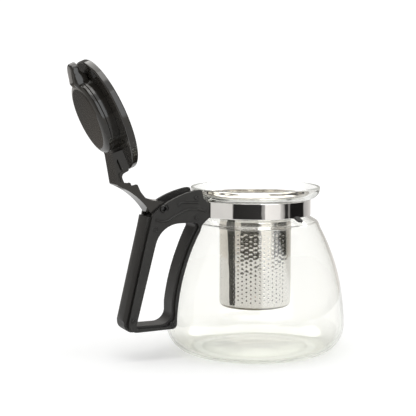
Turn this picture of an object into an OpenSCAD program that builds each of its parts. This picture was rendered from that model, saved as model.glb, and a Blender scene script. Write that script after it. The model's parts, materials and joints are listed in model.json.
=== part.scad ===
// Glass teapot with a flip-up lid, a two-plate plastic handle and a lift-out steel infuser.
// Millimetres, +Z up, origin at the centre of the foot. The handle points to -X.

/* [Glass jug] */
// Largest radius of the jug
body_r = 64.8; // [62:0.2:68]
// Height of the largest radius above the foot
belly_z = 20; // [18:0.5:24]
// Radius of the corner between the wall and the foot
foot_corner_r = 20; // [16:0.5:20]
// Radius of the long side curve
side_arc_r = 150; // [140:1:165]
// Height from the end of the side curve to the band's lower edge
shoulder_drop = 9.4; // [8:0.1:12]
// Outer radius of the neck
neck_r = 38.5; // [37.5:0.1:38.8]
// Thickness of the glass wall
glass_t = 2; // [1.6:0.1:2.4]
// Height of the hollow under the foot
punt_h = 1.2; // [0.8:0.1:1.6]
// Outer radius of the flared rim
rim_r = 46.8; // [46.4:0.1:47.4]
// Height of the flare above the band
flare_h = 8; // [7.5:0.1:8.5]

/* [Neck band] */
// Height of the band's lower edge
band_z = 99.9; // [99.4:0.1:100.4]
// Height of the steel band
band_h = 11.3; // [11:0.1:11.6]
// Thickness of the steel band
band_t = 0.7; // [0.5:0.05:0.9]
// Thickness of the rubber strip under the band
gasket_t = 0.6; // [0.5:0.05:0.7]
// Width of the strip's pull tab
tab_w = 8; // [6:0.5:10]
// Azimuth of the pull tab, measured from the pouring side
tab_azimuth = -64; // [-80:1:-40]
// Length of the band's ears inside the handle
ear_l = 16; // [14:0.5:17]
// Height of the band's ears
ear_h = 6.4; // [5:0.2:6.4]
// Distance between the two ears
ear_gap = 13; // [11:0.5:13.5]
// Radius of the clamp screw
clamp_r = 1.5; // [1.2:0.1:1.8]

/* [Handle] */
// Half width of the handle at the grip
grip_half_w = 10.5; // [10:0.1:11.5]
// Half width of the handle at the top of the cheeks
cheek_half_w = 12.6; // [12.6:0.1:14]
// Thickness of each side plate
plate_t = 2.6; // [2.2:0.1:2.6]
// Thickness of the inner leg and the bottom bar
strap_t = 4.2; // [3.6:0.1:5]
// Thickness of the side plates along the inner leg and the bottom bar
strap_plate_t = 2.4; // [2:0.1:3]
// Gap between the inner leg and the glass
leg_gap = 0.4; // [0.3:0.1:1]
// Height of the bottom bar's underside
bar_z = 21.5; // [20.5:0.25:23]
// Lean of the grip from the vertical, in degrees
grip_lean = 13.3; // [12.5:0.1:14]
// Distance from the jug's axis to the top of the grip's back
grip_x = 87.9; // [87:0.1:90]
// Height of the grip's top above the band's lower edge
grip_top_rise = 3.1; // [2:0.1:4]
// Depth of the rounded back of the grip
back_depth = 4.6; // [4:0.1:6]
// Depth of the side plates at the lower end of the grip
plate_depth_low = 6.1; // [5:0.1:8]
// Depth of the side plates at the upper end of the grip
plate_depth_top = 7.7; // [6:0.1:9]
// Width of the groove between the back and the side plates
groove_w = 1.6; // [1:0.1:2]
// Step between the side plates and the back
back_step = 0.6; // [0.4:0.1:1]
// Wall of the hollow back
back_wall = 1.8; // [1.4:0.1:2]
// Radius of the handle screws
screw_r = 1.2; // [1:0.1:1.4]

/* [Hinge] */
// Distance from the jug's axis to the hinge pin
pivot_x = 75; // [74:0.25:76]
// Height of the hinge pin above the band's lower edge
pivot_rise = 8; // [7.6:0.1:8.6]
// Radius of the hinge pin
pin_r = 1.6; // [1.4:0.1:2]
// Radius of the arm's eye
eye_r = 4.8; // [4.4:0.1:5.2]
// Wall of the hollow arm
arm_wall = 2.2; // [1.8:0.1:2.6]
// Width of the lid arm
arm_w = 17.4; // [15:0.2:17.8]
// Angle between the closed lid and the open lid, in degrees
lid_open = 113.2; // [100:0.1:114]

/* [Lid] */
// Distance between the lid's edge and the inner edge of the rim
lid_gap = 4.4; // [4:0.1:5]
// Thickness of the lid disc's rim
lid_t = 4.9; // [4.4:0.1:5.2]
// Wall of the lid disc
lid_wall = 2; // [1.6:0.1:2.2]
// Thickness of the liner plate
liner_t = 1.2; // [0.8:0.1:1.4]
// Radius of the round drum on the lid
drum_r = 26.1; // [24:0.1:27]
// Height of the drum with its cap
drum_h = 10.9; // [10:0.1:12]
// Distance from the disc's centre to the drum's centre
drum_shift = 2.4; // [1:0.1:3]
// Thickness of the cap
cap_t = 2.2; // [1.8:0.1:3]
// Width of the lifting tongue
tongue_w = 13; // [11:0.5:15]
// Thickness of the tongue at its tip
tongue_t = 5.1; // [3.5:0.1:5.5]

/* [Infuser] */
// Outer radius of the infuser
infuser_r = 25.9; // [24.5:0.1:27]
// Height of the infuser's underside above the foot
infuser_z = 33.3; // [30:0.5:38]
// Thickness of the steel sheet
sheet_t = 0.45; // [0.4:0.05:0.5]
// Width of the infuser's flange beyond the neck
flange_w = 2.9; // [2.4:0.1:3.4]
// Height from the collar's lower edge to the band's lower edge
collar_drop = 9.9; // [8:0.1:12]
// Radius of a strainer hole
hole_r = 0.8; // [0.6:0.1:1]
// Rows of strainer holes
hole_rows = 9; // [6:1:11]
// Strainer holes in each row
holes_per_row = 20; // [16:2:24]

/* [Hidden] */
$fn = 96;
eps = 0.01;
snug = 0.05;
loose = 0.3;
far = 400;

// ---- outlines ----
function unit(v) = v / norm(v);
function turn(v, a) = [v[0] * cos(a) - v[1] * sin(a), v[0] * sin(a) + v[1] * cos(a)];
function backwards(p) = [for (i = [len(p) - 1:-1:0]) p[i]];
// Points of an arc round c, from angle a0 to a1
function arc(c, r, a0, a1, n = 12) =
    [for (i = [0:n]) c + r * [cos(a0 + (a1 - a0) * i / n), sin(a0 + (a1 - a0) * i / n)]];
// Points of a stretch of an ellipse round c
function oval(c, a, b, a0, a1, n = 12) =
    [for (i = [0:n]) c + [a * cos(a0 + (a1 - a0) * i / n), b * sin(a0 + (a1 - a0) * i / n)]];
// Signed angle from vector u to vector v, within half a turn
function swing(u, v) = atan2(u[0] * v[1] - u[1] * v[0], u[0] * v[0] + u[1] * v[1]);
function left_of(v) = [-v[1], v[0]];
// Arc of radius r that joins p0 to p1 and bulges to the left of the way from p0 to p1
function join_arc(p0, p1, r, n = 12) =
    let (m = (p0 + p1) / 2, d = p1 - p0, h = sqrt(r * r - d * d / 4),
         c = m - left_of(unit(d)) * h, s = p0 - c, e = p1 - c)
    [for (i = [0:n]) c + turn(s, swing(s, e) * i / n)];
// One corner p between q0 and q1, rounded to radius r
function corner(q0, p, q1, r, n) =
    r <= 0 ? [p] :
    let (u = unit(q0 - p), v = unit(q1 - p), half = abs(swing(u, v)) / 2,
         c = p + unit(u + v) * r / sin(half), t = r / tan(half),
         s = p + u * t - c, e = p + v * t - c)
    [for (i = [0:n]) c + turn(s, swing(s, e) * i / n)];
function flat_point(k) = [k[0], k[1]];
// Closed outline through corners [x, y, radius]
function rounded(k, n = 8) =
    [for (i = [0:len(k) - 1])
        each corner(flat_point(k[(i + len(k) - 1) % len(k)]), flat_point(k[i]),
                    flat_point(k[(i + 1) % len(k)]), k[i][2], n)];
// Open path through corners [x, y, radius]; its ends stay sharp
function bent(k, n = 6) =
    [for (i = [0:len(k) - 1])
        each (i == 0 || i == len(k) - 1) ? [flat_point(k[i])] :
            corner(flat_point(k[i - 1]), flat_point(k[i]), flat_point(k[i + 1]), k[i][2], n)];
function side_normal(p, i) =
    i == 0 ? left_of(unit(p[1] - p[0])) :
    i == len(p) - 1 ? left_of(unit(p[i] - p[i - 1])) :
    let (a = left_of(unit(p[i] - p[i - 1])), b = left_of(unit(p[i + 1] - p[i])), m = unit(a + b))
    m / (m * a);
// The same path, moved by t to its left
function beside(p, t) = [for (i = [0:len(p) - 1]) p[i] + t * side_normal(p, i)];
// A strip of thickness t on the left of an open path
function strip(p, t) = concat(p, backwards(beside(p, t)));

// Outline in X and Z, given thickness w along Y and centred on y
module slab(outline, w, y = 0) {
    translate([0, y + w / 2, 0]) rotate([90, 0, 0]) linear_extrude(w) polygon(outline);
}
// A rod along Y from y0 to y1
module rod(x, z, r, y0, y1) {
    translate([x, y1, z]) rotate([90, 0, 0]) cylinder(r = r, h = y1 - y0);
}
module ring(r_in, r_out, h) {
    rotate_extrude() translate([r_in, 0]) square([r_out - r_in, h]);
}
module spin(outline) {
    rotate_extrude() polygon(outline);
}

// ---- heights that follow the band ----
shoulder_z = band_z - shoulder_drop;
collar_z = band_z - collar_drop;
pivot_z = band_z + pivot_rise;
grip_top_z = band_z + grip_top_rise;

// ---- glass ----
band_top = band_z + band_h;
flare_gap = 0.1;
rim_z = band_top + flare_gap + flare_h;
side_c = [body_r - side_arc_r, belly_z];
foot_c = [body_r - foot_corner_r, belly_z];
foot_ring_w = 6;
punt_edge_w = 4;
shoulder_a = asin((shoulder_z - belly_z) / side_arc_r);
shoulder_r = side_c[0] + side_arc_r * cos(shoulder_a);
shoulder_in = 1.6;
shoulder_rise = 4.6;
neck_drop = 0.75;
neck_in = neck_r - glass_t;
lip_r = glass_t / 2;
// The infuser's seat: the curve of the flare's inner face
seat_h = flare_h - 0.8 * glass_t;
seat_w = rim_r - glass_t - neck_in;
function flare_in(r) = rim_z - seat_h * sqrt(1 - pow((r - neck_in) / seat_w, 2));

// Path up the shoulder, from the end of the side curve to the neck
shoulder_path = bent([[shoulder_r, shoulder_z, 0],
    [shoulder_r - shoulder_in, shoulder_z + shoulder_rise, 5],
    [neck_r, band_z - neck_drop, 1.2], [neck_r, band_z + 2, 0]]);
wall_path = concat(arc(foot_c, foot_corner_r, -90, 0), arc(side_c, side_arc_r, 1, shoulder_a - 0.5, 14),
                   shoulder_path);

module glass_jug() {
    flare_end_a = -8;
    ring_in = foot_c[0] - foot_ring_w;
    outside = concat([[0, punt_h], [ring_in - punt_edge_w, punt_h], [ring_in, 0]], wall_path,
        oval([neck_r, rim_z], rim_r - neck_r, flare_h, -90, flare_end_a, 10),
        arc([rim_r - lip_r, rim_z], lip_r, 0, 180, 8));
    inside = concat([[0, punt_h + glass_t], [ring_in - punt_edge_w, punt_h + glass_t], [ring_in, glass_t]],
        beside(wall_path, glass_t),
        oval([neck_in, rim_z], seat_w, seat_h, -90, flare_end_a, 10));
    color([0.93, 0.95, 0.93, 0.4]) spin(concat(outside, backwards(inside)));
}

// ---- neck band ----
gasket_in = neck_r + snug;
gasket_out = gasket_in + gasket_t;
gasket_gap = 0.15;
band_in = gasket_out + gasket_gap;
band_out = band_in + band_t;
ear_y = ear_gap / 2;
// Distance from the jug's axis to the ears' inner ends, which lie inside the band's wall
ear_root_x = sqrt(pow(band_in, 2) - pow(ear_y, 2)) + snug;
// Distance from the jug's axis at which the ears leave the band
ear_x = sqrt(pow(band_out, 2) - pow(ear_y + band_t, 2));
clamp_reach = 8.8;
clamp_x = -(band_out + clamp_reach);
clamp_z = band_z + band_h / 2;
clamp_head_h = 1.5;
// Half length over the clamp's head and nut, which lie between the ears and the side plates
clamp_half_l = ear_y + band_t + clamp_head_h;

module band_gasket() {
    edge = 0.3;
    tab_drop = 5;
    // The tab is a little thinner than the strip
    tab_inset = 0.08;
    color("dimgray") {
        difference() {
            translate([0, 0, band_z + edge]) ring(gasket_in, gasket_out, band_h - 2 * edge);
            translate([-far, -ear_y + 1, 0]) cube([far, ear_gap - 2, far]);
        }
        // The pull tab lies on the sloping shoulder of the glass
        rotate([0, 0, tab_azimuth]) intersection() {
            spin(strip(beside(shoulder_path, -snug - tab_inset), 2 * tab_inset - gasket_t));
            translate([0, -tab_w / 2, band_z - tab_drop]) cube([far, tab_w, tab_drop + 1]);
        }
    }
}

module neck_band() {
    color("silver") difference() {
        union() {
            difference() {
                translate([0, 0, band_z]) ring(band_in, band_out, band_h);
                translate([-far, -ear_y, 0]) cube([far, ear_gap, far]);
            }
            for (s = [-1, 1])
                translate([-ear_x - ear_l, s * (ear_y + band_t / 2) - band_t / 2, clamp_z - ear_h / 2])
                cube([ear_x + ear_l - ear_root_x, band_t, ear_h]);
        }
        rod(clamp_x, clamp_z, clamp_r + snug, -far, far);
    }
}

module clamp_screw() {
    color("gainsboro") {
        rod(clamp_x, clamp_z, clamp_r, -clamp_half_l, clamp_half_l);
        rod(clamp_x, clamp_z, clamp_r * 1.8, -clamp_half_l, clamp_head_h - clamp_half_l);
    }
}
module clamp_nut() {
    color("gainsboro") difference() {
        translate([clamp_x, clamp_half_l, clamp_z]) rotate([90, 0, 0])
        cylinder(r = clamp_r * 2, h = clamp_head_h, $fn = 6);
        rod(clamp_x, clamp_z, clamp_r + snug, 0, far);
    }
}

// ---- handle ----
// The inner leg follows the jug's side at a small distance
leg_r = side_arc_r + leg_gap;
leg_c = [-side_c[0], belly_z];
leg_foot_z = bar_z + 6;
leg_top_z = shoulder_z;
// Corner of the leg beside the jug's shoulder
leg_shoulder = [-(shoulder_r - shoulder_in + leg_gap), shoulder_z + shoulder_rise + leg_gap];
leg_shoulder_r = 5;
leg_top = [[leg_x(leg_top_z, leg_r), leg_top_z, 0], concat(leg_shoulder, leg_shoulder_r)];
function leg_x(z, r) = leg_c[0] - sqrt(pow(r, 2) - pow(z - leg_c[1], 2));
// Angle, seen from the leg's centre, at which a leg curve of radius r passes height z
function leg_angle(z, r) = 180 - asin((z - leg_c[1]) / r);
leg_foot_x = leg_x(leg_foot_z, leg_r);

function back_x(z) = -grip_x - (grip_top_z - z) * tan(grip_lean);
function plate_back_x(z) = back_x(z) + back_depth;
opening_top_z = band_z - 2.7;
finger_bottom = [plate_back_x(bar_z + strap_plate_t) + plate_depth_low, bar_z + strap_plate_t];
finger_top = [plate_back_x(opening_top_z) + plate_depth_top, opening_top_z];

// Front and top of the cheeks, which end under the jug's rim
cheek_front_x = -(band_out + 1.1);
cheek_tip = [-(rim_r - 0.2), rim_z + 1.1];
cheek_peak = cheek_tip - [3.4, 0.2];
cheek_back = [plate_back_x(grip_top_z + 1.2), grip_top_z + 1.8];
cheek_arc_r = 68;
bar_rise = 0.9;

// Lower edge from the grip to the inner leg, and up the leg
function foot_outline(inset) = concat(
    bent([[plate_back_x(bar_z + 40) + inset, bar_z + 40, 0], [plate_back_x(bar_z) + inset, bar_z, 6],
          [leg_foot_x, bar_z + bar_rise, 3.5], [leg_foot_x, leg_foot_z, 0]]),
    arc(leg_c, leg_r, leg_angle(leg_foot_z + 2, leg_r), leg_angle(leg_top_z - 1, leg_r), 14));

plate_outline = concat(
    foot_outline(0),
    bent(concat(leg_top, [[cheek_front_x, band_z, 1.2],
          [cheek_front_x, band_top - 1.2, 1.5], [cheek_tip[0] + 1.2, band_top + 2.9, 2],
          [cheek_tip[0], cheek_tip[1] - 1.8, 0]]), 5),
    corner([cheek_tip[0], cheek_tip[1] - 2.4], cheek_tip, cheek_tip - [5.4, 0.5], 1.6, 5),
    backwards(join_arc(cheek_back, cheek_peak, cheek_arc_r)),
    [cheek_back - [0.3, 1.4]]);

// The finger opening, with straps of thickness t beside it
function opening(t) =
    let (floor_z = bar_z + t, leg_in = leg_r + t)
    concat(
        corner(finger_top, [finger_bottom[0], floor_z], [finger_bottom[0] + 15, floor_z], 2, 5),
        corner([finger_bottom[0] + 10, floor_z], [leg_x(leg_foot_z, leg_in), floor_z],
               [leg_x(leg_foot_z + 30, leg_in), leg_foot_z + 30], 9, 8),
        arc(leg_c, leg_in, leg_angle(leg_foot_z + 12, leg_r), leg_angle(leg_top_z - 3, leg_r), 10),
        corner([leg_x(leg_top_z - 2, leg_in), leg_top_z - 2],
               [leg_x(opening_top_z, leg_in), opening_top_z],
               [leg_x(opening_top_z, leg_in) - 10, opening_top_z], 3, 5),
        corner([finger_top[0] + 17, opening_top_z], finger_top, [finger_bottom[0], floor_z], 18, 10));

// Section in Y and Z of the handle, drawn inwards by t: the cheeks spread towards the top
bend_drop = 21.9;
bend_z = band_z - bend_drop;
spread_top_z = cheek_tip[1] + 1;
module spread_bar(t) {
    half = [[grip_half_w - t, 0], [grip_half_w - t, bend_z], [cheek_half_w - t, spread_top_z]];
    translate([-far / 2, 0, 0]) rotate([90, 0, 90]) linear_extrude(far)
    polygon(concat(half, backwards([for (p = half) [-p[0], p[1]]])));
}
function half_width(z) = grip_half_w
    + max(0, z - bend_z) * (cheek_half_w - grip_half_w) / (spread_top_z - bend_z);

// Screw places in X and Z
screw_places = [cheek_tip - [4.3, 5.4], [-(neck_r + 12.1), band_z + 1], finger_top - [3.6, 3.7],
                finger_bottom + [-1.5, 5.9], [leg_foot_x - 3.6, bar_z + 4.1]];
boss_r = 2;
head_r = screw_r * 1.7;
head_h = 1;
screw_end_gap = 0.5;
slot_w = 0.5;
module through_screws(r) {
    for (p = screw_places) rod(p[0], p[1], r, -far, far);
}

module side_plate(s) {
    recess_depth = 0.9;
    color([0.2, 0.2, 0.19])
    difference() {
        intersection() {
            slab(plate_outline, 2 * cheek_half_w + 2);
            difference() {
                spread_bar(0);
                spread_bar(plate_t);
            }
            translate([-far, s > 0 ? 0 : -far, 0]) cube(far);
        }
        slab(opening(strap_plate_t), far);
        rod(-pivot_x, pivot_z, pin_r + snug, -far, far);
        // Oval recess round the end of the pin
        for (d = [-1, 0, 1])
            rod(-pivot_x + 0.9 * d, pivot_z + 0.5 * d, pin_r + 0.9,
                s > 0 ? half_width(pivot_z) - recess_depth : -far,
                s > 0 ? far : recess_depth - half_width(pivot_z));
        through_screws(screw_r + snug);
        if (s > 0)
            for (p = screw_places)
                rod(p[0], p[1], head_r + 0.15, half_width(p[1]) - head_h, far);
    }
}
module side_plate_near() side_plate(-1);
module side_plate_far() side_plate(1);

trough_z = pivot_z - eye_r - 0.7;
block_back_x = -pivot_x + 11;
block_top_z = band_top - 0.5;
block_front_x = -(band_out + 0.5);
core_outline = concat(
    foot_outline(-groove_w - 1),
    bent(concat(leg_top, [[block_front_x, band_z - 0.4, 1.2],
          [block_front_x, block_top_z, 1], [screw_places[0][0] + boss_r, block_top_z, 0]]), 5),
    [[screw_places[0][0] + boss_r, screw_places[0][1]], [screw_places[0][0] - boss_r, screw_places[0][1]],
     [screw_places[0][0] - boss_r, block_top_z], [block_back_x, block_top_z],
     [block_back_x, trough_z], [plate_back_x(trough_z) - groove_w - 1, trough_z]]);

// Section of the grip's round back: local X runs forward, local Y across
groove_a = acos(-groove_w / back_depth);
back_section = oval([back_depth, 0], back_depth, grip_half_w - back_step, groove_a, 360 - groove_a, 20);
// Limits of the back in X and Z: a round lower end, and a nearly level top
back_limits = concat(
    bent([[back_x(grip_top_z), grip_top_z, 0], [back_x(bar_z), bar_z, 11],
          [back_x(bar_z) + 18, bar_z, 0]], 8),
    [[back_x(bar_z + 18) + 16, bar_z + 18], [-grip_x + back_depth + 1, grip_top_z - 1.2]]);
// Brings the grip's own frame to its lean, with its lower end at the bar's underside
module along_grip() {
    translate([back_x(bar_z), 0, bar_z]) rotate([0, grip_lean, 0]) children();
}

module handle_core() {
    grip_l = (grip_top_z - bar_z) / cos(grip_lean);
    hollow_half_w = grip_half_w - plate_t - back_wall;
    hollow_z = 12;
    color([0.19, 0.19, 0.18])
    difference() {
        union() {
            difference() {
                intersection() {
                    slab(core_outline, 2 * cheek_half_w);
                    spread_bar(plate_t);
                }
                slab(opening(strap_t), far);
                // Room for the ears, the clamp's head and its nut
                for (s = [-1, 1])
                    translate([-ear_x - ear_l - 0.5, s > 0 ? ear_y : -ear_y - 20, band_z - 0.5])
                    cube([far, 20, far]);
            }
            intersection() {
                along_grip() translate([0, 0, -10]) linear_extrude(grip_l + 20) polygon(back_section);
                slab(back_limits, 2 * grip_half_w + 2);
            }
            // Boss that carries the top screw
            rod(screw_places[0][0], screw_places[0][1], boss_r, -ear_y, ear_y);
        }
        // Hollow of the grip, open at the top
        along_grip() translate([0, 0, hollow_z]) linear_extrude(grip_l)
        polygon(rounded([[back_wall, -hollow_half_w, 3], [back_wall, hollow_half_w, 3],
            [back_depth + 3.2, hollow_half_w, 3], [back_depth + 3.2, -hollow_half_w, 3]]));
        rod(clamp_x, clamp_z, clamp_r + snug, -far, far);
        through_screws(screw_r + snug);
        rod(-pivot_x, pivot_z, eye_r + 0.6, -far, far);
    }
}

module handle_screws() {
    color("dimgray")
    for (p = screw_places) {
        top_y = half_width(p[1]) - 0.1;
        rod(p[0], p[1], screw_r, -half_width(p[1]) + screw_end_gap, top_y - head_h / 2);
        difference() {
            rod(p[0], p[1], head_r, half_width(p[1]) - head_h, top_y);
            translate([p[0] - head_r, top_y - slot_w, p[1] - slot_w / 2])
            cube([2 * head_r, 2 * slot_w, slot_w]);
        }
    }
}
module hinge_pin() {
    pin_half_l = half_width(pivot_z) - 0.4;
    color("silver") rod(-pivot_x, pivot_z, pin_r, -pin_half_l, pin_half_l);
}

// ---- lid, drawn closed and then turned about the pin ----
// The closed lid is concentric with the jug
lid_reach = pivot_x;
lid_r = rim_r - glass_t - lid_gap;
face_h = rim_z + 0.2 - pivot_z;
module lid_pose() {
    translate([-pivot_x, 0, pivot_z]) rotate([0, -lid_open, 0]) children();
}
// Places on the closed lid, measured from the disc's centre and its upper face
module on_disc() {
    translate([lid_reach, 0, face_h]) children();
}
lid_screw_place_r = 17;
lid_screw_r = 1.3;
lid_screw_n = 3;
lid_screw_l = 6;
lid_boss_r = 3;
lid_head_h = 1.2;
module at_lid_screws() {
    translate([drum_shift, 0, 0])
    for (i = [0:lid_screw_n - 1]) rotate([0, 0, 360 * (i + 0.5) / lid_screw_n])
        translate([lid_screw_place_r, 0, 0]) children();
}

module lid_disc() {
    edge = 0.7;
    color([0.14, 0.13, 0.12]) lid_pose() on_disc() difference() {
        spin([[0, 0], [lid_r - edge, 0], [lid_r, -edge], [lid_r, -lid_t + edge], [lid_r - edge, -lid_t],
            [lid_r - lid_wall, -lid_t], [lid_r - lid_wall, -lid_wall], [0, -lid_wall]]);
        at_lid_screws() translate([0, 0, -lid_t]) cylinder(r = lid_screw_r + snug, h = 2 * lid_t);
    }
}
module lid_liner() {
    liner_inset = 0.3;
    color([0.16, 0.16, 0.16]) lid_pose() on_disc()
    translate([0, 0, liner_inset - lid_t]) cylinder(r = lid_r - lid_wall - snug, h = liner_t);
}
module lid_screws() {
    color("gainsboro") lid_pose() on_disc() at_lid_screws() translate([0, 0, -lid_wall - lid_head_h]) {
        cylinder(r = lid_screw_r, h = lid_head_h + lid_wall + lid_screw_l);
        cylinder(r = 2 * lid_screw_r, h = lid_head_h);
    }
}
module lid_cap() {
    bevel = 1.4;
    color([0.15, 0.14, 0.13]) lid_pose() on_disc() translate([drum_shift, 0, drum_h - cap_t])
    spin(concat([[0, 0], [drum_r, 0]], arc([drum_r - bevel, cap_t - bevel], bevel, 0, 90, 8), [[0, cap_t]]));
}

// Side view of the arm, measured from the pin: a hollow back, an eye, and a stepped underside
root_x = lid_reach - lid_r;
root_top_h = 7;
root_half_w = 12.6;
arm_top_z = face_h + root_top_h;
knuckle = [root_x - 6.1, arm_top_z + 4.9];
arm_back_r = 50;
arm_side = let (drum_x = lid_reach + drum_shift - drum_r + 6) concat(
    [[drum_x, face_h], [drum_x, arm_top_z - 2]],
    corner([drum_x, arm_top_z - 2], knuckle, knuckle - [3.6, 3.5], 1.5, 4),
    join_arc(knuckle - [0.9, 1], [2.4, 9.4], arm_back_r),
    corner([7.8, 10.6], [-1.6, 8.6], [-eye_r * cos(15), eye_r * sin(15)], 4, 5),
    arc([0, 0], eye_r, 165, 320),
    bent([[eye_r * cos(40), -eye_r * sin(40), 0], [8.4, 4.5, 3], knuckle_to(-16.1, -15.1, 4),
          knuckle_to(-10.7, -13.6, 4), knuckle_to(-5.2, -13.6, 0.8), knuckle_to(-4.2, -8.1, 1),
          knuckle_to(-1.2, -7.3, 0.5), knuckle_to(-0.2, -5.3, 1), [root_x - 0.3, arm_top_z - 0.5, 3],
          [root_x, face_h + 0.6, 0]]),
    [[root_x + 0.6, face_h]]);
function knuckle_to(x, z, r) = [knuckle[0] + x, knuckle[1] + z, r];
// Hollow of the arm, open towards the jug
arm_hollow = [[eye_r + 6, 0], [eye_r + 6, 11.2 - arm_wall], [16, 13.8 - arm_wall], [22, 17.5 - arm_wall],
    [knuckle[0] - 2, knuckle[1] - 1.3 - arm_wall], [root_x - 2, arm_top_z + 3 - arm_wall], [root_x - 2, 0]];
// Shallow pocket in each side of the arm
pocket = rounded([[root_x - 4.8, arm_top_z + 3.2, 0.8], [root_x - 4.4, arm_top_z + 1, 0.6],
    [root_x + 0.9, arm_top_z + 0.6, 0.8], [root_x + 2, arm_top_z - 4.4, 0.6],
    [root_x + 9, arm_top_z - 4.8, 0.6], [root_x + 11.5, arm_top_z - 1.8, 0.8]], 3);

// The tongue spreads into the drum and thins towards its round tip
tongue_tip_x = 35.5;
tongue_reach = tongue_tip_x + tongue_w / 2;
tongue_lift = 3.5;
tongue_rise = 1.4;
module tongue() {
    half = tongue_w / 2;
    plan = concat([[14, -17]], corner([18, -16], [29, -half], [36, -half], 12, 8),
        arc([tongue_tip_x, 0], half, -90, 90, 16),
        corner([36, half], [29, half], [18, 16], 12, 8), [[14, 17]]);
    side = [[10, 0], [drum_shift + drum_r + 2.5, 0], [tongue_tip_x, tongue_lift],
            [tongue_reach + 1, tongue_lift], [tongue_reach + 1, tongue_lift + tongue_t],
            [drum_shift + drum_r - 2, drum_h + tongue_rise], [10, drum_h + tongue_rise]];
    intersection() {
        linear_extrude(2 * drum_h) polygon(plan);
        slab(side, 2 * drum_r);
    }
}

module lid_arm() {
    drum_wall = 2;
    pocket_depth = 1.2;
    drum_top_h = drum_h - cap_t;
    color([0.16, 0.15, 0.14]) lid_pose() difference() {
        union() {
            difference() {
                slab(arm_side, arm_w);
                slab(arm_hollow, arm_w - 2 * arm_wall);
            }
            on_disc() {
                translate([drum_shift, 0, 0]) cylinder(r = drum_r, h = drum_top_h);
                tongue();
                // Root of the arm, spreading down to the disc
                translate([2 - lid_r, 0, 0]) rotate([90, 0, 90]) linear_extrude(14)
                polygon([[-root_half_w, 0], [root_half_w, 0],
                    [arm_w / 2, root_top_h], [-arm_w / 2, root_top_h]]);
            }
        }
        on_disc() {
            difference() {
                translate([drum_shift, 0, drum_wall]) cylinder(r = drum_r - drum_wall, h = drum_h);
                at_lid_screws() cylinder(r = lid_boss_r, h = drum_top_h);
            }
            translate([drum_shift, 0, drum_top_h]) cylinder(r = drum_r + 0.15, h = drum_h);
            at_lid_screws() translate([0, 0, -1]) cylinder(r = lid_screw_r + snug, h = lid_screw_l + 1.4);
        }
        rod(0, 0, pin_r + snug, -far, far);
        for (s = [-1, 1]) slab(pocket, 2 * pocket_depth, s * arm_w / 2);
    }
}

// ---- infuser ----
flange_r = neck_in + flange_w;
collar_r = neck_in - 0.5;
module infuser_collar() {
    bead = 0.5;
    flange = [for (i = [0:8]) let (r = flange_r + (neck_in + 1 - flange_r) * i / 8)
        [r, flare_in(r) + loose + sheet_t]];
    path = concat(flange, bent([[collar_r + 0.2, flange[8][1], 0], [collar_r, band_top - 5, 2],
        [infuser_r, band_z - 0.5, 2], [infuser_r, collar_z + 2.4, 0.8],
        [infuser_r + bead, collar_z + 1.6, 0.5], [infuser_r, collar_z + 0.8, 0.5],
        [infuser_r, collar_z, 0]], 4));
    color("gainsboro") spin(strip(path, -sheet_t));
}
module infuser_tube() {
    tube_r = infuser_r - sheet_t - snug;
    cup_lap = 4;
    collar_lap = 6;
    plain_low = 8;
    plain_top = 3;
    tube_z = infuser_z + cup_lap;
    tube_top = collar_z + collar_lap;
    low_row_z = infuser_z + plain_low;
    row_pitch = (collar_z - plain_top - low_row_z) / (hole_rows - 1);
    color("silver") difference() {
        translate([0, 0, tube_z]) ring(tube_r - sheet_t, tube_r, tube_top - tube_z);
        for (j = [0:hole_rows - 1], i = [0:holes_per_row - 1])
            rotate([0, 0, (i + 0.5 * (j % 2)) * 360 / holes_per_row])
            translate([tube_r - 2, 0, low_row_z + j * row_pitch]) rotate([0, 90, 0])
            cylinder(r = hole_r, h = 4, $fn = 16);
    }
}
module infuser_base() {
    cup_h = 6;
    cup_corner_r = 3;
    path = bent([[infuser_r, infuser_z + cup_h, 0], [infuser_r, infuser_z, cup_corner_r],
        [0, infuser_z, 0]], 8);
    color("silver") spin(strip(path, -sheet_t));
}

glass_jug();
band_gasket();
neck_band();
clamp_screw();
clamp_nut();
handle_core();
side_plate_near();
side_plate_far();
handle_screws();
hinge_pin();
lid_arm();
lid_disc();
lid_liner();
lid_screws();
lid_cap();
infuser_collar();
infuser_tube();
infuser_base();
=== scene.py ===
"""Looks of a glass teapot with a flip-up lid and a lift-out strainer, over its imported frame.

Lengths below are millimetres unless a name says otherwise; meshes are made in metres.
"""
import json
import math

import bmesh
import bpy
from mathutils import Matrix, Vector


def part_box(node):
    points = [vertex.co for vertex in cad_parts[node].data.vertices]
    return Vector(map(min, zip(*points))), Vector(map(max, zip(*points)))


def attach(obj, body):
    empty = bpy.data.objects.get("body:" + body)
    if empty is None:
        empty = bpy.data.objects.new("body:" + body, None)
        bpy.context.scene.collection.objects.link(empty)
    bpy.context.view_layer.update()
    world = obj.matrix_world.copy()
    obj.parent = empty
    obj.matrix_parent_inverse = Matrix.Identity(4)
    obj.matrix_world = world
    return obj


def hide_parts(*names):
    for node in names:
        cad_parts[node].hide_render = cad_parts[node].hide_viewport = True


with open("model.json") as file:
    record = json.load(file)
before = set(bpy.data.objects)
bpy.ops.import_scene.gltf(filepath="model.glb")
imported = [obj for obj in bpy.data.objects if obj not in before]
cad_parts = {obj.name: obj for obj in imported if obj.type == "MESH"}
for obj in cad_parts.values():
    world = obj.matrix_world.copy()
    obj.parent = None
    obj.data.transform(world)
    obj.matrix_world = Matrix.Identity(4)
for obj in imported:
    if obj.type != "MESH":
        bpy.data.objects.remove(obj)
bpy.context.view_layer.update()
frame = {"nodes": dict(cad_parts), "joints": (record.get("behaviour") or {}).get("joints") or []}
scene = bpy.context.scene

MM = 0.001
FULL_TURN = 2 * math.pi


def box_mm(node):
    """Lowest and highest corner of a CAD node, in millimetres."""
    low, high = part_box(node)
    return low / MM, high / MM


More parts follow.
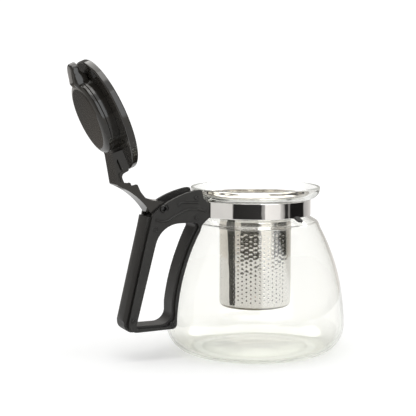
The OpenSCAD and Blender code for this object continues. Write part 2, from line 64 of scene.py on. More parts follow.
# ---- sizes read from the frame ----
glass_high = box_mm("glass_jug")[1]
band_low, band_high = box_mm("neck_band")
collar_low, collar_high = box_mm("infuser_collar")
cup_low, cup_high = box_mm("infuser_base")
hinge = next(joint for joint in frame["joints"] if joint["name"] == "lid_hinge")
pivot = Vector(hinge["pos_m"]) / MM
lid_open = math.radians(hinge["range_deg"][1])

body_r = glass_high.x
band_z = band_low.z
band_top = band_high.z
band_out = band_high.x
infuser_r = cup_high.x
infuser_z = cup_low.z
collar_z = collar_low.z

# ---- sizes of the jug's wall ----
GLASS_T = 2.0
LIP_R = GLASS_T / 2
RIM_R = 46.8
PUNT_H = 1.2
FOOT_RING_W = 6
FOOT_CORNER_R = 20
BELLY_Z = 20
SIDE_ARC_R = 150
SHOULDER_DROP = 9.4
SHOULDER_IN = 1.6
SHOULDER_RISE = 4.6
SHOULDER_BEND_R = 5
NECK_R = 38.5
NECK_DROP = 0.75
NECK_BEND_R = 1.2
FLARE_OVER_BAND = 0.1
FLARE_STOP_DEG = -8
rim_z = glass_high.z - LIP_R
neck_in = NECK_R - GLASS_T
flare_h = rim_z - band_top - FLARE_OVER_BAND
# Inside, the flare is a quarter of an ellipse of this width and height; the infuser hangs on it
seat_w = RIM_R - GLASS_T - neck_in
seat_h = flare_h - 0.8 * GLASS_T


# ---- outlines, as lists of (radius or x, height) ----
def arc(cx, cz, rx, rz, start, end, steps):
    """Points of a stretch of an ellipse; angles in degrees."""
    turns = [math.radians(start + (end - start) * i / steps) for i in range(steps + 1)]
    return [Vector((cx + rx * math.cos(a), cz + rz * math.sin(a))) for a in turns]


def rounded_corner(before, at, after, radius, steps, hold=0.0):
    """Points of the arc of that radius which rounds one corner, with a holding point
    at that distance on each side, which keeps the shading of the flats beside it flat."""
    if radius <= 0:
        return [at.copy()]
    u = (before - at).normalized()
    v = (after - at).normalized()
    half = u.angle(v) / 2
    centre = at + (u + v).normalized() * radius / math.sin(half)
    reach = radius / math.tan(half)
    first = at + u * reach - centre
    last = at + v * reach - centre
    swing = math.atan2(first.x * last.y - first.y * last.x, first.dot(last))
    round_part = [centre + Matrix.Rotation(swing * i / steps, 2) @ first for i in range(steps + 1)]
    if hold:
        return [round_part[0] + u * hold] + round_part + [round_part[-1] + v * hold]
    return round_part


def bent(corners, steps=6, hold=0.0):
    """Open path through corners (x, z, radius); its ends stay sharp."""
    points = [Vector(corner[:2]) for corner in corners]
    path = [points[0]]
    for i in range(1, len(points) - 1):
        path += rounded_corner(points[i - 1], points[i], points[i + 1], corners[i][2], steps, hold)
    return path + [points[-1]]


def loop_round(corners, steps=4, hold=0.2):
    """Closed outline through corners (x, z, radius)."""
    points = [Vector(corner[:2]) for corner in corners]
    count = len(points)
    path = []
    for i, corner in enumerate(corners):
        after = points[(i + 1) % count]
        path += rounded_corner(points[i - 1], points[i], after, corner[2], steps, hold)
    return path


def beside(path, distance):
    """The same path, moved to its left."""
    moved = []
    for i, point in enumerate(path):
        back = (point - path[i - 1]).normalized() if i else None
        ahead = (path[i + 1] - point).normalized() if i < len(path) - 1 else None
        a = Vector((-back.y, back.x)) if back else Vector((-ahead.y, ahead.x))
        b = Vector((-ahead.y, ahead.x)) if ahead else a
        mean = (a + b).normalized()
        moved.append(point + mean * distance / mean.dot(a))
    return moved


def strip(path, thickness):
    """Closed outline of a sheet of that thickness on the left of a path."""
    return path + beside(path, thickness)[::-1]


# ---- node helpers ----
def socket(node, name):
    return node.inputs[name]


def link(tree, source, target):
    tree.links.new(source, target)


def math_node(tree, operation, *values):
    """A Math node; a value is a number or an output."""
    node = tree.nodes.new("ShaderNodeMath")
    node.operation = operation
    for place, value in zip(node.inputs, values):
        if isinstance(value, (int, float)):
            place.default_value = value
        else:
            link(tree, value, place)
    return node.outputs[0]


def noise(tree, coordinates, scale, detail=3, roughness=0.55):
    """The value of a Noise Texture; the scale is per metre."""
    node = tree.nodes.new("ShaderNodeTexNoise")
    socket(node, "Scale").default_value = scale
    socket(node, "Detail").default_value = detail
    socket(node, "Roughness").default_value = roughness
    link(tree, coordinates, socket(node, "Vector"))
    return node.outputs["Fac"]


def ramp(tree, value, stops):
    """Colour Ramp through stops (place, colour or grey)."""
    node = tree.nodes.new("ShaderNodeValToRGB")
    elements = node.color_ramp.elements
    while len(elements) < len(stops):
        elements.new(0.5)
    for element, (place, colour) in zip(elements, stops):
        element.position = place
        element.color = (*colour, 1) if isinstance(colour, tuple) else (colour, colour, colour, 1)
    link(tree, value, node.inputs[0])
    return node.outputs[0]


def span(tree, value, low, high, to_low=0.0, to_high=1.0):
    """Map Range, clamped."""
    node = tree.nodes.new("ShaderNodeMapRange")
    for name, number in (("From Min", low), ("From Max", high), ("To Min", to_low), ("To Max", to_high)):
        socket(node, name).default_value = number
    link(tree, value, socket(node, "Value"))
    return node.outputs[0]


def mix_colour(tree, share, first, second):
    """From the first colour to the second one; each value is plain or an output."""
    node = tree.nodes.new("ShaderNodeMix")
    node.data_type = "RGBA"
    for place, value in ((node.inputs[0], share), (node.inputs[6], first), (node.inputs[7], second)):
        if isinstance(value, (tuple, list)):
            place.default_value = (*value, 1)
        elif isinstance(value, (int, float)):
            place.default_value = value
        else:
            link(tree, value, place)
    return node.outputs[2]


def object_place(tree):
    return tree.nodes.new("ShaderNodeTexCoord").outputs["Object"]


def bump(tree, height, distance):
    """The normal of a surface raised by height times a distance in metres."""
    node = tree.nodes.new("ShaderNodeBump")
    socket(node, "Strength").default_value = 1.0
    socket(node, "Distance").default_value = distance
    link(tree, height, socket(node, "Height"))
    return node.outputs["Normal"]


def group_tree(name, inputs, outputs):
    """An empty node group with float inputs {name: value} and outputs {name: kind}."""
    tree = bpy.data.node_groups.new(name, "ShaderNodeTree")
    for title, value in inputs.items():
        place = tree.interface.new_socket(title, in_out="INPUT", socket_type="NodeSocketFloat")
        place.default_value = value
    for title, kind in outputs.items():
        tree.interface.new_socket(title, in_out="OUTPUT", socket_type=kind)
    return tree, tree.nodes.new("NodeGroupInput"), tree.nodes.new("NodeGroupOutput")


def place_group(tree, group, **values):
    """Places a group; an input is named with underscores for its spaces."""
    node = tree.nodes.new("ShaderNodeGroup")
    node.node_tree = group
    for title, value in values.items():
        socket(node, title.replace("_", " ")).default_value = value
    return node


def moulded_grain():
    """Fine spark-eroded grain and faint flow marks of a moulded plastic skin."""
    tree, given, made = group_tree(
        "moulded grain", {"Grain Scale": 2500, "Flow Scale": 60},
        {"Height": "NodeSocketFloat", "Flow": "NodeSocketFloat"})
    place = object_place(tree)
    grain = noise(tree, place, 1, detail=2)
    flow = noise(tree, place, 1, detail=3)
    link(tree, given.outputs["Grain Scale"], grain.node.inputs["Scale"])
    link(tree, given.outputs["Flow Scale"], flow.node.inputs["Scale"])
    link(tree, grain, made.inputs["Height"])
    link(tree, flow, made.inputs["Flow"])
    return tree


def handling_marks():
    """Fine dust specks and soft smears left by handling, as masks."""
    tree, given, made = group_tree(
        "handling marks", {"Smear Scale": 35, "Speck Scale": 900},
        {"Smear": "NodeSocketFloat", "Speck": "NodeSocketFloat"})
    place = object_place(tree)
    smear = noise(tree, place, 1, detail=4, roughness=0.6)
    speck = noise(tree, place, 1, detail=1)
    link(tree, given.outputs["Smear Scale"], smear.node.inputs["Scale"])
    link(tree, given.outputs["Speck Scale"], speck.node.inputs["Scale"])
    link(tree, span(tree, smear, 0.35, 0.75), made.inputs["Smear"])
    link(tree, span(tree, speck, 0.79, 0.82), made.inputs["Speck"])
    return tree


GRAIN = moulded_grain()
MARKS = handling_marks()


# ---- finishes ----
def new_material(name):
    """A material, its tree and its Principled node."""
    material = bpy.data.materials.new(name)
    material.use_nodes = True
    tree = material.node_tree
    return material, tree, tree.nodes["Principled BSDF"]


# Light that the glass gives to rays caught between the two faces of its wall
CAUGHT_LIGHT = 0.2
CAUGHT_BOUNCES = 2.5


def clear_glass():
    """Clear soda glass, a little greener at the foot, with faint waves of the blowing."""
    material, tree, skin = new_material("clear_glass")
    place = object_place(tree)
    split = tree.nodes.new("ShaderNodeSeparateXYZ")
    link(tree, place, split.inputs[0])
    tinted_h = 0.04
    tint = ramp(tree, span(tree, split.outputs["Z"], 0, tinted_h),
                [(0, (0.970, 0.984, 0.945)), (0.06, (0.982, 0.984, 0.952)),
                 (0.6, (0.992, 0.988, 0.972)), (1, (0.992, 0.988, 0.974))])
    link(tree, tint, socket(skin, "Base Color"))
    socket(skin, "Roughness").default_value = 0.0
    socket(skin, "IOR").default_value = 1.48
    socket(skin, "Transmission Weight").default_value = 1.0
    waves = noise(tree, place, 28, detail=1)
    link(tree, bump(tree, waves, 0.0006), socket(skin, "Normal"))
    # A caught ray ends pale, not black
    light_path = tree.nodes.new("ShaderNodeLightPath")
    caught = math_node(tree, "GREATER_THAN", light_path.outputs["Glossy Depth"], CAUGHT_BOUNCES)
    socket(skin, "Emission Color").default_value = (1.0, 0.99, 0.96, 1)
    link(tree, math_node(tree, "MULTIPLY", caught, CAUGHT_LIGHT), socket(skin, "Emission Strength"))
    # Lamps reach what stands behind the glass
    clear = tree.nodes.new("ShaderNodeBsdfTransparent")
    clear.inputs[0].default_value = (0.985, 0.987, 0.98, 1)
    either = tree.nodes.new("ShaderNodeMixShader")
    link(tree, light_path.outputs["Is Shadow Ray"], either.inputs[0])
    link(tree, skin.outputs[0], either.inputs[1])
    link(tree, clear.outputs[0], either.inputs[2])
    link(tree, either.outputs[0], tree.nodes["Material Output"].inputs["Surface"])
    # Soda glass turns green where it is seen edge on
    green = tree.nodes.new("ShaderNodeVolumeAbsorption")
    green.inputs["Color"].default_value = (0.87, 0.94, 0.85, 1)
    green.inputs["Density"].default_value = 20
    link(tree, green.outputs[0], tree.nodes["Material Output"].inputs["Volume"])
    return material


def gasket_rubber():
    """Dull dark rubber with a soft grain."""
    material, tree, skin = new_material("gasket_rubber")
    grain = place_group(tree, GRAIN, Grain_Scale=1800, Flow_Scale=90)
    base = ramp(tree, grain.outputs["Flow"], [(0.3, (0.022, 0.022, 0.021)), (0.7, (0.04, 0.039, 0.037))])
    link(tree, base, socket(skin, "Base Color"))
    socket(skin, "Roughness").default_value = 0.6
    link(tree, bump(tree, grain.outputs["Height"], 0.00005), socket(skin, "Normal"))
    return material


# Painted shade on the strainer's faces inside its wall, and the width over which it fades in
INSIDE_PAINTED_SHADE = (0.30, 0.27, 0.23)
SHADE_EDGE_W = 0.15


def polished_steel(name, colour, smear_low, smear_high, wave, shaded_within=0):
    """Bright rolled steel: near-mirror, with faint smears and a slightly uneven surface; its
    faces nearer than a distance to the jug's axis can be darkened with painted shade."""
    material, tree, skin = new_material(name)
    marks = place_group(tree, MARKS, Smear_Scale=40)
    smeared = tuple(0.93 * part for part in colour)
    skin_colour = mix_colour(tree, marks.outputs["Smear"], colour, smeared)
    # Painted shade: faces nearer the axis than the given distance turn a darker brown
    if shaded_within:
        across = tree.nodes.new("ShaderNodeVectorMath")
        across.operation = "MULTIPLY"
        across.inputs[1].default_value = (1, 1, 0)
        link(tree, object_place(tree), across.inputs[0])
        distance = tree.nodes.new("ShaderNodeVectorMath")
        distance.operation = "LENGTH"
        link(tree, across.outputs[0], distance.inputs[0])
        outside = span(tree, distance.outputs["Value"], (shaded_within - SHADE_EDGE_W) * MM,
                       shaded_within * MM)
        skin_colour = mix_colour(tree, outside, INSIDE_PAINTED_SHADE, skin_colour)
    link(tree, skin_colour, socket(skin, "Base Color"))
    socket(skin, "Metallic").default_value = 1.0
    link(tree, span(tree, marks.outputs["Smear"], 0, 1, smear_low, smear_high), socket(skin, "Roughness"))
    link(tree, bump(tree, noise(tree, object_place(tree), 70, detail=2), wave), socket(skin, "Normal"))
    return material


def hardware_steel():
    """Zinc-plated turned steel, with fine lathe lines."""
    material, tree, skin = new_material("hardware_steel")
    place = object_place(tree)
    base = ramp(tree, noise(tree, place, 300), [(0.35, (0.42, 0.41, 0.40)), (0.65, (0.56, 0.55, 0.53))])
    link(tree, base, socket(skin, "Base Color"))
    socket(skin, "Metallic").default_value = 1.0
    link(tree, span(tree, noise(tree, place, 800, detail=1), 0.3, 0.7, 0.22, 0.4), socket(skin, "Roughness"))
    link(tree, bump(tree, noise(tree, place, 4000, detail=0), 0.00002), socket(skin, "Normal"))
    return material


def blackened_steel():
    """Black-oxide steel of the handle's screws and pin."""
    material, tree, skin = new_material("blackened_steel")
    place = object_place(tree)
    base = ramp(tree, noise(tree, place, 900),
                [(0.35, (0.010, 0.010, 0.010)), (0.65, (0.026, 0.025, 0.024))])
    link(tree, base, socket(skin, "Base Color"))
    link(tree, span(tree, noise(tree, place, 500, detail=1), 0.3, 0.7, 0.25, 0.45), socket(skin, "Roughness"))
    link(tree, bump(tree, noise(tree, place, 4000, detail=0), 0.00002), socket(skin, "Normal"))
    return material


def handle_plastic():
    """Matte black plastic with a fine moulded grain and faint rubbed patches."""
    material, tree, skin = new_material("handle_plastic")
    grain = place_group(tree, GRAIN, Grain_Scale=2200, Flow_Scale=45)
    marks = place_group(tree, MARKS, Smear_Scale=30, Speck_Scale=1500)
    base = ramp(tree, grain.outputs["Flow"],
                [(0.3, (0.0135, 0.0125, 0.0108)), (0.7, (0.0195, 0.0182, 0.0160))])
    dust = math_node(tree, "MULTIPLY", marks.outputs["Speck"], 0.5)
    dusty = mix_colour(tree, dust, base, (0.09, 0.088, 0.082))
    link(tree, dusty, socket(skin, "Base Color"))
    link(tree, span(tree, marks.outputs["Smear"], 0, 1, 0.5, 0.42), socket(skin, "Roughness"))
    socket(skin, "IOR").default_value = 1.46
    link(tree, bump(tree, grain.outputs["Height"], 0.00004), socket(skin, "Normal"))
    return material


def lid_plastic():
    """Glossy black plastic with a warm cast, faint sink marks and smears."""
    material, tree, skin = new_material("lid_plastic")
    grain = place_group(tree, GRAIN, Grain_Scale=90, Flow_Scale=25)
    marks = place_group(tree, MARKS, Smear_Scale=26, Speck_Scale=1100)
    base = ramp(tree, grain.outputs["Flow"],
                [(0.3, (0.0200, 0.0184, 0.0155)), (0.7, (0.0240, 0.0220, 0.0188))])
    dust = math_node(tree, "MULTIPLY", marks.outputs["Speck"], 0.6)
    dusty = mix_colour(tree, dust, base, (0.10, 0.095, 0.085))
    link(tree, dusty, socket(skin, "Base Color"))
    link(tree, span(tree, marks.outputs["Smear"], 0, 1, 0.09, 0.14), socket(skin, "Roughness"))
    socket(skin, "IOR").default_value = 1.5
    link(tree, bump(tree, grain.outputs["Height"], 0.00004), socket(skin, "Normal"))
    return material


FINISHES = {
    "clear_glass": clear_glass(),
    "gasket_rubber": gasket_rubber(),
    "polished_band": polished_steel("polished_band", (0.93, 0.93, 0.93), 0.03, 0.07, 0.00015),
    # The strainer's steel, darkened inside its wall with painted shade
    "infuser_steel": polished_steel("infuser_steel", (0.81, 0.79, 0.75), 0.04, 0.08, 0.00025,
                                    shaded_within=infuser_r - 0.2),
    "blackened_steel": blackened_steel(),
    "hardware_steel": hardware_steel(),
    "handle_plastic": handle_plastic(),
    "lid_plastic": lid_plastic(),
}
# Finishes, also used by other pieces, put on the CAD nodes that stay as they are
CAD_FINISHES = {
    "clamp_screw": "hardware_steel",
    "clamp_nut": "hardware_steel",
    "handle_screws": "blackened_steel",
    "lid_screws": "hardware_steel",
}


# ---- mesh helpers ----
MOULDED_EDGE_W = 0.5


def make_piece(mesh_data, name, body, finish, replaced=(), sharp_angle=35):
    """Turns a bmesh in millimetres into a piece of the object that rides on a body."""
    bmesh.ops.scale(mesh_data, vec=(MM, MM, MM), verts=mesh_data.verts)
    mesh = bpy.data.meshes.new(name)
    mesh_data.to_mesh(mesh)
    mesh_data.free()
    mesh.materials.append(FINISHES[finish])
    mesh.shade_smooth()
    mesh.set_sharp_from_angle(angle=math.radians(sharp_angle))
    piece = bpy.data.objects.new(name, mesh)
    scene.collection.objects.link(piece)
    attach(piece, body)
    if replaced:
        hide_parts(*replaced)
    return piece


def spun(outline, steps=192, closed=True, angle=FULL_TURN, start=0.0):
    """A bmesh of an outline (radius, height) turned about Z."""
    shape = bmesh.new()
    verts = [shape.verts.new((radius, 0, height)) for radius, height in outline]
    ends = verts[1:] + verts[:1] if closed else verts[1:]
    edges = [shape.edges.new(pair) for pair in zip(verts, ends)]
    bmesh.ops.rotate(shape, cent=(0, 0, 0), matrix=Matrix.Rotation(start, 3, "Z"), verts=verts)
    bmesh.ops.spin(shape, geom=verts + edges, cent=(0, 0, 0), axis=(0, 0, 1), dvec=(0, 0, 0), angle=angle,
                   steps=steps, use_merge=angle == FULL_TURN, use_normal_flip=False, use_duplicate=False)
    bmesh.ops.remove_doubles(shape, verts=shape.verts, dist=1e-4)
    bmesh.ops.recalc_face_normals(shape, faces=shape.faces)
    return shape


def cad_copy(node):
    """A merged bmesh copy of a CAD node, in millimetres, with its flat faces whole."""
    shape = bmesh.new()
    shape.from_mesh(frame["nodes"][node].data)
    bmesh.ops.scale(shape, vec=(1 / MM, 1 / MM, 1 / MM), verts=shape.verts)
    bmesh.ops.remove_doubles(shape, verts=shape.verts, dist=1e-3)
    bmesh.ops.dissolve_limit(shape, angle_limit=math.radians(0.5), use_dissolve_boundaries=False,
                             verts=shape.verts, edges=shape.edges, delimit=set())
    return shape


def add_to(shape, part):
    """Adds one bmesh to another and frees it."""
    scrap = bpy.data.meshes.new("scrap")
    part.to_mesh(scrap)
    part.free()
    shape.from_mesh(scrap)
    bpy.data.meshes.remove(scrap)


def soften(piece):
    """Rounds the sharp edges of a moulded piece with a live bevel."""
    bevel = piece.modifiers.new("soft edges", "BEVEL")
    bevel.width = MOULDED_EDGE_W * MM
    bevel.segments = 3
    bevel.limit_method = "ANGLE"
    bevel.angle_limit = math.radians(32)
    bevel.use_clamp_overlap = True
    bevel.harden_normals = True
    bevel.miter_outer = "MITER_ARC"


# ---- glass jug ----
def build_glass_jug():
    """The blown wall: a hollow under the foot, a bellied side, a neck and a flared rim."""
    side_c = body_r - SIDE_ARC_R
    foot_c = body_r - FOOT_CORNER_R
    shoulder_z = band_z - SHOULDER_DROP
    shoulder_a = math.asin((shoulder_z - BELLY_Z) / SIDE_ARC_R)
    shoulder_r = side_c + SIDE_ARC_R * math.cos(shoulder_a)
    shoulder = bent([(shoulder_r, shoulder_z, 0),
                     (shoulder_r - SHOULDER_IN, shoulder_z + SHOULDER_RISE, SHOULDER_BEND_R),
                     (NECK_R, band_z - NECK_DROP, NECK_BEND_R), (NECK_R, band_z + 2, 0)])
    wall = (arc(foot_c, BELLY_Z, FOOT_CORNER_R, FOOT_CORNER_R, -90, 0, 24)
            + arc(side_c, BELLY_Z, SIDE_ARC_R, SIDE_ARC_R, 1, math.degrees(shoulder_a) - 0.5, 30) + shoulder)
    ring_in = foot_c - FOOT_RING_W
    steps = 16
    punt = [Vector((ring_in * i / steps, PUNT_H * (1 + math.cos(math.pi * i / steps)) / 2))
            for i in range(steps + 1)]
    outside = (punt + wall
               + arc(NECK_R, rim_z, RIM_R - NECK_R, flare_h, -90, FLARE_STOP_DEG, 12)
               + arc(RIM_R - LIP_R, rim_z, LIP_R, LIP_R, 0, 180, 8))
    inside = ([point + Vector((0, GLASS_T)) for point in punt] + beside(wall, GLASS_T)
              + arc(neck_in, rim_z, seat_w, seat_h, -90, FLARE_STOP_DEG, 12))
    shape = spun(outside + inside[::-1], closed=False)
    make_piece(shape, "blown_glass_jug", "jug", "clear_glass", ["glass_jug"], sharp_angle=60)


# ---- neck band ----
def build_neck_band():
    """The band leaves the neck in a straight line towards each cheek of the handle, turns in
    along the cheeks' front and ends in its two ears."""
    band_t = 0.7
    roll = 0.25
    band_in = band_out - band_t
    straight_from = math.radians(142.5)
    cheek_front = -band_out - 0.9
    ear_out = 7.3
    out = Vector((math.cos(straight_from), math.sin(straight_from)))
    turn_y = (band_out - cheek_front * out.x) / out.y
    corner = Vector((cheek_front, turn_y))
    run = (corner - out * band_out).length
    gap_half = math.pi - straight_from - (run + turn_y - ear_out) / band_out
    outline = loop_round([(band_in, band_z, roll), (band_out, band_z, roll),
                          (band_out, band_top, roll), (band_in, band_top, roll)], 3)
    shape = spun(outline, steps=240, angle=FULL_TURN - 2 * gap_half, start=math.pi + gap_half)
    bmesh.ops.contextual_create(shape, geom=[edge for edge in shape.edges if edge.is_boundary])
    # Past the place where it leaves the neck, the band runs straight and then along the cheek
    for vert in shape.verts:
        side = math.copysign(1, vert.co.y)
        past = (abs(math.atan2(vert.co.y, vert.co.x)) - straight_from) * band_out
        depth = band_out - vert.co.xy.length
        if past > run:
            vert.co.xy = (corner.x + depth, side * (corner.y - (past - run)))
        elif past > 0:
            place = out * (band_out - depth) + Vector((-out.y, out.x)) * past
            vert.co.xy = (place.x, side * place.y)
    # The two ears are the frame's own
    ears = cad_copy("neck_band")
    bmesh.ops.bisect_plane(ears, geom=ears.verts[:] + ears.edges[:] + ears.faces[:], dist=1e-4,
                           plane_co=(-band_out - 0.1, 0, 0), plane_no=(1, 0, 0), clear_outer=True)
    bmesh.ops.holes_fill(ears, edges=[edge for edge in ears.edges if edge.is_boundary])
    add_to(shape, ears)
    make_piece(shape, "rolled_neck_band", "jug", "polished_band", ["neck_band"])


def build_gasket():
    """The rubber strip under the band, with its round-ended pull tab on the glass shoulder."""
    inner = NECK_R + 0.05
    outer = inner + 0.6
    low = band_z + 0.3
    high = band_top - 0.3
    edge_r = 0.15
    gap_w = 11
    gap_half = math.asin(gap_w / 2 / outer)
    outline = loop_round([(inner, low, edge_r), (outer, low, edge_r), (outer, high, edge_r),
                          (inner, high, edge_r)], 2, 0.1)
    shape = spun(outline, steps=180, angle=FULL_TURN - 2 * gap_half, start=math.pi + gap_half)
    bmesh.ops.contextual_create(shape, geom=[edge for edge in shape.edges if edge.is_boundary])
    add_to(shape, pull_tab())
    make_piece(shape, "gasket_with_tab", "jug", "gasket_rubber", ["band_gasket"], sharp_angle=50)


def pull_tab():
    """The gasket's tab: it lies down the shoulder, narrows a little and swells in its middle."""
    azimuth = math.radians(-68)
    length = 6.4
    half_w = 2.6
    round_l = 2.4
    narrowed = 0.18
    tip_flat = 0.07
    lift = 1.3
    crown = 0.4
    root = Vector((NECK_R + 0.6, band_z + 0.1))
    along = Vector((7.1, -4.05)).normalized()
    up = Vector((-along.y, along.x))
    tab = bmesh.new()
    bmesh.ops.create_grid(tab, x_segments=10, y_segments=14, size=0.5)
    for vert in tab.verts:
        side = 2 * vert.co.x
        reach = (0.5 - vert.co.y) * length
        past = max(0, reach - (length - round_l)) / round_l
        rounding = math.sqrt(1 - (1 - tip_flat) * past ** 2)
        across = side * half_w * (1 - narrowed * reach / length) * rounding
        place = root + along * reach + up * (lift + crown * (1 - side ** 2))
        turn = azimuth + across / place.x
        vert.co = (place.x * math.cos(turn), place.x * math.sin(turn), place.y)
    bmesh.ops.recalc_face_normals(tab, faces=tab.faces)
    bmesh.ops.solidify(tab, geom=tab.faces[:], thickness=1.4)
    return tab


# ---- infuser ----
def build_infuser():
    """A collar that hangs in the jug's flare by its flange, a holed wall and a shallow cup."""
    sheet_t = 0.45
    seat_gap = 0.3
    bead = 0.5
    bead_h = 0.8
    flange_r = collar_high.x
    collar_r = neck_in - 0.5

    def seat(radius):
        """Height of the flare's inner face."""
        return rim_z - seat_h * math.sqrt(1 - ((radius - neck_in) / seat_w) ** 2)

    flange = [Vector((r, seat(r) + seat_gap + sheet_t))
              for r in (flange_r + (neck_in + 1 - flange_r) * i / 8 for i in range(9))]
    path = flange + bent([(collar_r + 0.2, flange[-1].y, 0), (collar_r, band_top - 5, 2),
                          (infuser_r, band_z - 0.5, 2), (infuser_r, collar_z + 3 * bead_h, 0.8),
                          (infuser_r + bead, collar_z + 2 * bead_h, 0.5),
                          (infuser_r, collar_z + bead_h, 0.5), (infuser_r, collar_z, 0)], 5, 0.15)
    collar = spun(strip(path, -sheet_t))
    make_piece(collar, "infuser_collar_drawn", "infuser", "infuser_steel", ["infuser_collar"])
    cup_top = infuser_z + 3.4
    cup_corner_r = 3
    cup = bent([(infuser_r, cup_top, 0), (infuser_r, infuser_z, cup_corner_r), (0, infuser_z, 0)], 8, 0.2)
    bowl = spun(cup + beside(cup, -sheet_t)[::-1], closed=False)
    make_piece(bowl, "infuser_cup_drawn", "infuser", "infuser_steel", ["infuser_base"])
    build_perforated_wall(cup_top, collar_z, sheet_t)


def build_perforated_wall(low_z, high_z, sheet_t):
    """The strainer's rolled sheet: fields of staggered holes with plain strips between them.

    A column is one hole wide, and a row of holes takes four steps of height."""
    fields = 3
    holed = 13
    plain = 4
    field_azimuth = math.radians(-107)
    column_w = FULL_TURN * infuser_r / fields / (holed + plain)
    row_h = 3.08
    step = row_h / 4
    low_steps = 1
    rows = int((high_z - low_z) / step - low_steps - 2) // 4
    all_steps = low_steps + 2 + 4 * rows
    top_z = low_z + all_steps * step
    # Radius and depth of each ring of points, in towards the edge of the hole
    rings = [(0.80, 0), (0.66, 0.01), (0.48, 0.05)]
    sides = 12
    wall = bmesh.new()

    def sheet(x, low, high, steps):
        """A plain stretch of one column, two faces wide."""
        made = bmesh.ops.create_grid(wall, x_segments=2, y_segments=steps, size=0.5)["verts"]
        bmesh.ops.scale(wall, vec=(column_w, high - low, 1), verts=made)
        bmesh.ops.rotate(wall, cent=(0, 0, 0), matrix=Matrix.Rotation(math.pi / 2, 3, "X"), verts=made)
        bmesh.ops.translate(wall, vec=(x, 0, (low + high) / 2), verts=made)

    def border(vert):
        """Moves a point of the unit circle to the cell's border, at quarter steps."""
        x = column_w / 2
        z = row_h / 2
        places = [(x, 0), (x, z / 2), (x, z), (0, z), (-x, z), (-x, z / 2),
                  (-x, 0), (-x, -z / 2), (-x, -z), (0, -z), (x, -z), (x, -z / 2)]
        turn = math.degrees(math.atan2(vert.co.z, vert.co.x)) % 360
        vert.co.x, vert.co.z = places[round(turn * sides / 360) % sides]

    def hole(x, z):
        """One cell with a hole whose edge is pressed in a little."""
        start = len(wall.verts)
        loops = []
        for radius, sink in [(1, 0)] + rings:
            made = bmesh.ops.create_circle(wall, cap_ends=False, segments=sides, radius=radius)["verts"]
            bmesh.ops.rotate(wall, cent=(0, 0, 0), matrix=Matrix.Rotation(math.pi / 2, 3, "X"), verts=made)
            for vert in made:
                vert.co.y = sink
                if radius == 1:
                    border(vert)
            loops.append(dict.fromkeys(edge for vert in made for edge in vert.link_edges))
        for outer, inner in zip(loops, loops[1:]):
            bmesh.ops.bridge_loops(wall, edges=list(outer | inner))
        wall.verts.ensure_lookup_table()
        bmesh.ops.translate(wall, vec=(x, 0, z), verts=wall.verts[start:])

    for column in range(holed + plain):
        x = (column + 0.5 - holed / 2) * column_w
        first = low_steps + 2 * (column % 2) if column < holed else all_steps
        sheet(x, low_z, low_z + first * step, first)
        sheet(x, top_z, high_z, 1)
        if column < holed:
            for row in range(rows):
                hole(x, low_z + (first + 4 * row + 2) * step)
            if all_steps > first + 4 * rows:
                sheet(x, top_z - 2 * step, top_z, 2)
    bmesh.ops.remove_doubles(wall, verts=wall.verts, dist=1e-3)
    for vert in wall.verts:
        angle = vert.co.x / infuser_r + field_azimuth
        radius = infuser_r - vert.co.y
        vert.co.xy = (radius * math.cos(angle), radius * math.sin(angle))
    bmesh.ops.spin(wall, geom=wall.verts[:] + wall.edges[:] + wall.faces[:], cent=(0, 0, 0), axis=(0, 0, 1),
                   dvec=(0, 0, 0), angle=FULL_TURN * (fields - 1) / fields, steps=fields - 1, use_merge=False,
                   use_normal_flip=False, use_duplicate=True)
    bmesh.ops.remove_doubles(wall, verts=wall.verts, dist=2e-3)
    bmesh.ops.recalc_face_normals(wall, faces=wall.faces)
    outward = sum(face.normal.dot(face.calc_center_median()) > 0 for face in wall.faces)
    if outward < len(wall.faces) / 2:
        bmesh.ops.reverse_faces(wall, faces=wall.faces)
    bmesh.ops.solidify(wall, geom=wall.faces[:], thickness=sheet_t)
    make_piece(wall, "strainer_wall", "infuser", "infuser_steel", ["infuser_tube"], sharp_angle=50)


# ---- handle ----
def build_handle():
    """The moulded back and cheeks with softened edges, the pin, and what stands on a cheek."""
    for node, name in (("handle_core", "handle_back_and_core"), ("side_plate_near", "side_plate_left"),
                       ("side_plate_far", "side_plate_right")):
        soften(make_piece(cad_copy(node), name, "jug", "handle_plastic", [node]))
    low, high = box_mm("hinge_pin")
    sunk = 1.5
    end_r = 0.5
    half = high.y - sunk
    radius = (high.z - low.z) / 2
    outline = bent([(0, -half, 0), (radius, -half, end_r), (radius, half, end_r), (0, half, 0)], 4)
    pin = spun(outline, steps=48, closed=False)
    bmesh.ops.rotate(pin, cent=(0, 0, 0), matrix=Matrix.Rotation(math.pi / 2, 3, "X"), verts=pin.verts)
    bmesh.ops.translate(pin, vec=pivot, verts=pin.verts)
    make_piece(pin, "hinge_pin_turned", "jug", "blackened_steel", ["hinge_pin"])
    build_cheek_relief()
    build_bosses(radius)


def screw_places():
    """Middles of the handle's screws in X and Z, from their own solids."""
    screws = cad_copy("handle_screws")
    found = set()
    places = []
    for first in screws.verts:
        if first in found:
            continue
        found.add(first)
        group = [first]
        for vert in group:
            for edge in vert.link_edges:
                other = edge.other_vert(vert)
                if other not in found:
                    found.add(other)
                    group.append(other)
        places.append(sum((vert.co for vert in group), Vector()) / len(group))
    screws.free()
    return places


